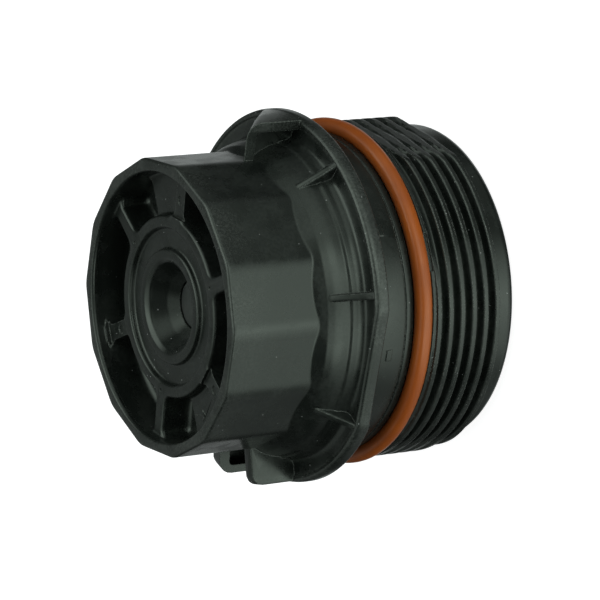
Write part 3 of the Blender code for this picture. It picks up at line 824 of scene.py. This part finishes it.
def plastic(name, base, pale, roughness, grain=0.05, dust=0.0, wear_and_highlight=0.0):
    """Moulded plastic: mottled sheen, fine grain, softened edges painted paler (partly scuffs, partly a
    painted highlight), a few dust specks.
    """
    mat, nodes, links, shader = new_material(name)
    coords = nodes.new("ShaderNodeTexCoord").outputs["Object"]
    patch = ranged(nodes, links, noise(nodes, links, coords, 130.0, 4.0, 0.6), 0.40, 0.62, 0.0, 1.0)
    speckle = ranged(nodes, links, noise(nodes, links, coords, 1500.0, 3.0, 0.65), 0.38, 0.62, 0.0, 1.0)
    mottle = maths(nodes, links, "MULTIPLY", patch, speckle)
    colour = mixed(nodes, links, mottle, base, pale)
    sheen = ranged(nodes, links, mottle, 0.0, 1.0, 0.54, 0.50)
    rough = ranged(nodes, links, patch, 0.0, 1.0, roughness, roughness + 0.07)
    bevel = nodes.new("ShaderNodeBevel")
    bevel.samples = 6
    bevel.inputs["Radius"].default_value = 0.3 * MM
    if wear_and_highlight:
        worn_and_highlit = edge_wear_and_highlight(nodes, links, bevel.outputs["Normal"], coords)
        scuff_and_highlight = maths(nodes, links, "MULTIPLY", worn_and_highlit, wear_and_highlight)
        # edges painted paler: partly scuffs, partly a painted highlight along the edges
        colour = mixed(nodes, links, scuff_and_highlight, colour, (0.15, 0.16, 0.145))
        rough = maths(nodes, links, "ADD", rough, maths(nodes, links, "MULTIPLY", scuff_and_highlight, 0.2))
        rubbed_and_highlit = rubbed_faces_and_flange_highlight(nodes, links, coords)
        # rim and flange edge painted paler: rubbing on the rim and upper wall, a painted highlight with
        # some rubbing on the flange edge
        colour = mixed(nodes, links, rubbed_and_highlit, colour, (0.060, 0.066, 0.059))
    if dust:
        colour = mixed(nodes, links, dust_specks(nodes, links, coords, dust), colour, (0.30, 0.31, 0.30))
    bump = nodes.new("ShaderNodeBump")
    bump.inputs["Strength"].default_value = grain
    bump.inputs["Distance"].default_value = 0.05 * MM
    links.new(noise(nodes, links, coords, 2600.0, 2.0), bump.inputs["Height"])
    links.new(bevel.outputs["Normal"], bump.inputs["Normal"])
    links.new(colour, shader.inputs["Base Color"])
    links.new(rough, shader.inputs["Roughness"])
    links.new(sheen, shader.inputs["Specular IOR Level"])
    links.new(bump.outputs["Normal"], shader.inputs["Normal"])
    shader.inputs["Specular Tint"].default_value = (0.88, 1.0, 0.87, 1.0)
    return mat


def rubber(name, base, dark, roughness, sheen=(1.0, 1.0, 1.0)):
    """Moulded rubber with a slightly uneven bloom and a very fine grain."""
    mat, nodes, links, shader = new_material(name)
    coords = nodes.new("ShaderNodeTexCoord").outputs["Object"]
    cloud = noise(nodes, links, coords, 120.0, 4.0)
    colour = mixed(nodes, links, ranged(nodes, links, cloud, 0.35, 0.65, 0.0, 0.6), base, dark)
    links.new(colour, shader.inputs["Base Color"])
    links.new(ranged(nodes, links, cloud, 0.3, 0.7, roughness - 0.06, roughness + 0.06),
              shader.inputs["Roughness"])
    fine = noise(nodes, links, coords, 1800.0, 2.0)
    bump = nodes.new("ShaderNodeBump")
    bump.inputs["Strength"].default_value = 0.06
    bump.inputs["Distance"].default_value = 0.05 * MM
    links.new(fine, bump.inputs["Height"])
    links.new(bump.outputs["Normal"], shader.inputs["Normal"])
    shader.inputs["Specular Tint"].default_value = (*sheen, 1.0)
    return mat


def metal(name, base, roughness):
    """Drawn or pressed steel with fine scratches and slight staining."""
    mat, nodes, links, shader = new_material(name)
    coords = nodes.new("ShaderNodeTexCoord").outputs["Object"]
    stain = noise(nodes, links, coords, 200.0, 4.0)
    dark = tuple(c * 0.62 for c in base)
    links.new(mixed(nodes, links, ranged(nodes, links, stain, 0.4, 0.7, 0.0, 0.7), base, dark),
              shader.inputs["Base Color"])
    links.new(ranged(nodes, links, noise(nodes, links, coords, 1500.0), 0.3, 0.7, roughness - 0.08,
                     roughness + 0.1), shader.inputs["Roughness"])
    shader.inputs["Metallic"].default_value = 1.0
    return mat


def paper(name, base):
    """Resin-treated filter paper: fibres and a soft sheen."""
    mat, nodes, links, shader = new_material(name)
    coords = nodes.new("ShaderNodeTexCoord").outputs["Object"]
    fibre = noise(nodes, links, coords, 1400.0, 6.0, 0.7)
    pale = tuple(min(1.0, c * 1.18) for c in base)
    links.new(mixed(nodes, links, ranged(nodes, links, fibre, 0.35, 0.65, 0.0, 1.0), base, pale),
              shader.inputs["Base Color"])
    shader.inputs["Roughness"].default_value = 0.88
    bump = nodes.new("ShaderNodeBump")
    bump.inputs["Strength"].default_value = 0.4
    bump.inputs["Distance"].default_value = 0.08 * MM
    links.new(fibre, bump.inputs["Height"])
    links.new(bump.outputs["Normal"], shader.inputs["Normal"])
    return mat


def dress(obj, mat):
    obj.data.materials.clear()
    obj.data.materials.append(mat)


# ---- studio ----

AMBIENT = 0.025
# (right, up, towards the camera, degrees from the middle to the edge, strength) of each soft source
SOURCES = (
    (-0.86, 0.35, 0.37, 40.0, 1.95),
    (-0.70, -0.12, 0.70, 40.0, 0.92),
    (-0.85, -0.49, 0.17, 40.0, 0.35),
    (-0.21, 0.80, 0.57, 40.0, 0.62),
    (0.30, 0.93, 0.20, 40.0, 0.26),
    (0.39, 0.51, 0.77, 40.0, 0.52),
    (0.40, 0.27, 0.88, 24.0, 2.0),
    (0.86, 0.05, 0.50, 30.0, 0.85),
    (0.42, -0.51, 0.75, 24.0, 1.4),
    (0.65, -0.42, 0.63, 40.0, 1.1),
    (0.97, -0.21, 0.10, 40.0, 0.85),
    (0.69, -0.69, -0.23, 40.0, 0.25),
    (0.23, 0.12, -0.97, 40.0, 0.62),
    (-0.68, -0.22, -0.70, 40.0, 0.2),
)
SOURCE_CORE = 5.0


def camera():
    """Long lens, level with the cap's +Y side and well off its axis."""
    aim = Vector((3.4, -1.2, 35.0)) * MM
    azimuth, elevation, distance = math.radians(2.97), math.radians(31.16), 808.7 * MM
    back = Vector((math.cos(elevation) * math.cos(azimuth), math.cos(elevation) * math.sin(azimuth),
                   math.sin(elevation)))
    up = Vector((0.0, 0.99633, -0.08552))
    right = up.cross(back).normalized()
    up = back.cross(right)
    data = bpy.data.cameras.new("camera")
    data.lens = 220.2
    data.sensor_width = 36.0
    data.clip_start = 0.01
    data.clip_end = 20.0
    obj = bpy.data.objects.new("camera", data)
    turn = Matrix((right, up, back)).transposed().to_4x4()
    obj.matrix_world = Matrix.Translation(aim + back * distance) @ turn
    bpy.context.scene.collection.objects.link(obj)
    bpy.context.scene.camera = obj
    return right, up, back


def studio_world(right, up, back):
    """White surround for the camera; broad soft sources round the camera light everything else."""
    world = bpy.data.worlds.new("studio")
    bpy.context.scene.world = world
    world.use_nodes = True
    nodes, links = world.node_tree.nodes, world.node_tree.links
    nodes.clear()
    direction = nodes.new("ShaderNodeTexCoord").outputs["Generated"]
    total = AMBIENT
    for across, upward, toward, edge, strength in SOURCES:
        axis = (right * across + up * upward + back * toward).normalized()
        dot = nodes.new("ShaderNodeVectorMath")
        dot.operation = "DOT_PRODUCT"
        dot.inputs[1].default_value = axis
        links.new(direction, dot.inputs[0])
        lobe = ranged(nodes, links, dot.outputs["Value"], math.cos(math.radians(edge)),
                      math.cos(math.radians(SOURCE_CORE)), 0.0, strength)
        total = maths(nodes, links, "ADD", total, lobe)
    light = nodes.new("ShaderNodeBackground")
    links.new(total, light.inputs["Strength"])
    light.inputs["Color"].default_value = (0.935, 1.0, 0.985, 1.0)
    white = nodes.new("ShaderNodeBackground")
    white.inputs["Color"].default_value = (1.0, 1.0, 1.0, 1.0)
    white.inputs["Strength"].default_value = 1.0
    path = nodes.new("ShaderNodeLightPath")
    mix = nodes.new("ShaderNodeMixShader")
    links.new(path.outputs["Is Camera Ray"], mix.inputs[0])
    links.new(light.outputs[0], mix.inputs[1])
    links.new(white.outputs[0], mix.inputs[2])
    output = nodes.new("ShaderNodeOutputWorld")
    links.new(mix.outputs[0], output.inputs["Surface"])


def floor():
    """Pale floor under the open rim, with a faint contact shadow."""
    bm = bmesh.new()
    bmesh.ops.create_grid(bm, x_segments=1, y_segments=1, size=3.0)
    mesh = bpy.data.meshes.new("floor")
    bm.to_mesh(mesh)
    bm.free()
    obj = bpy.data.objects.new("floor", mesh)
    obj.location.z = CAP_LOW.z - 0.0003
    bpy.context.scene.collection.objects.link(obj)
    mat, nodes, links, shader = new_material("floor_white")
    glow = nodes.new("ShaderNodeEmission")
    glow.inputs["Strength"].default_value = 0.9
    diffuse = nodes.new("ShaderNodeBsdfDiffuse")
    diffuse.inputs["Color"].default_value = (0.45, 0.45, 0.45, 1.0)
    both = nodes.new("ShaderNodeAddShader")
    links.new(glow.outputs[0], both.inputs[0])
    links.new(diffuse.outputs[0], both.inputs[1])
    links.new(both.outputs[0], nodes["Material Output"].inputs["Surface"])
    mesh.materials.append(mat)
    obj.visible_diffuse = False
    obj.visible_glossy = False
    obj.visible_shadow = False


def dress_inner_nodes():
    pieces = {
        "drain_valve_seal": rubber("valve_ring_rubber", (0.02, 0.02, 0.02), (0.03, 0.03, 0.03), 0.6),
        "drain_valve_guide": plastic("guide_nylon", (0.06, 0.062, 0.065), (0.1, 0.1, 0.1), 0.5),
        "support_tube": plastic("tube_nylon_look", (0.02, 0.021, 0.022), (0.035, 0.037, 0.036), 0.45),
        "bypass_valve": plastic("pale_acetal_look", (0.35, 0.33, 0.28), (0.42, 0.4, 0.34), 0.45),
        "bypass_spring_seat": metal("pressed_steel", (0.5, 0.5, 0.5), 0.4),
        "element_media": paper("pleated_paper", (0.66, 0.52, 0.3)),
        "element_upper_cap": plastic("upper_cap_look", (0.09, 0.16, 0.08), (0.13, 0.2, 0.11), 0.6),
        "element_lower_cap": plastic("lower_cap_look", (0.09, 0.16, 0.08), (0.13, 0.2, 0.11), 0.6),
        "element_upper_seal": rubber("upper_lip_look", (0.03, 0.03, 0.03), (0.045, 0.045, 0.045), 0.7),
        "element_lower_seal": rubber("lower_lip_look", (0.03, 0.03, 0.03), (0.045, 0.045, 0.045), 0.7),
    }
    for name, mat in pieces.items():
        dress(NODES[name], mat)


BLACK = plastic("black_nylon_look", base=(0.0064, 0.0080, 0.0068), pale=(0.0165, 0.0190, 0.0168),
                roughness=0.25, grain=0.05, dust=0.8, wear_and_highlight=1.0)
ORANGE = rubber("orange_rubber_look", base=(0.33, 0.078, 0.011), dark=(0.26, 0.057, 0.009),
                roughness=0.34, sheen=(1.0, 0.82, 0.65))
dress(visible_cap(), BLACK)
dress(visible_seal(), ORANGE)
dress(visible_drain_valve(), plastic("valve_acetal", (0.02, 0.022, 0.021), (0.03, 0.032, 0.03), 0.45))
visible_springs()
dress_inner_nodes()
studio_world(*camera())
floor()
bpy.context.scene.view_settings.view_transform = "Standard"
